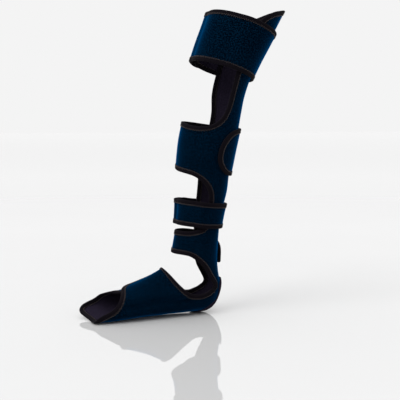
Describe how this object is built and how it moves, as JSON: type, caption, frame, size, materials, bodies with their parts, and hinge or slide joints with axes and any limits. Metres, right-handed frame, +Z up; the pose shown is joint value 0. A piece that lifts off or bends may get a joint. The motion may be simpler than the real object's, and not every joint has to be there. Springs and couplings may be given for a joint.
{
  "type": "above knee splint",
  "caption": "Soft wrap splint for a right leg from mid thigh to toes: a back strip with calf, ankle and foot wraps, a thigh band, a shin strap, a heel strap and taped edges.",
  "frame": {"origin": "where the heel rests on the upper face of the sole, below the ankle", "axes": "-X towards the toes, -Y towards the inner side of the leg, +Z up"},
  "size_m": [0.4304, 0.1523, 0.6252],
  "materials": {
    "cloth": "navy knit bonded to foam, matt",
    "tape": "charcoal ribbed binding tape, matt",
    "dark_cloth": "charcoal knit, matt"
  },
  "bodies": {
    "root": {"leg_body": "cloth", "leg_body_binding": "tape", "thigh_band": "cloth", "thigh_band_binding": "tape", "shin_strap": "cloth", "shin_strap_binding": "tape", "heel_strap": "dark_cloth"}
  },
  "joints": []
}
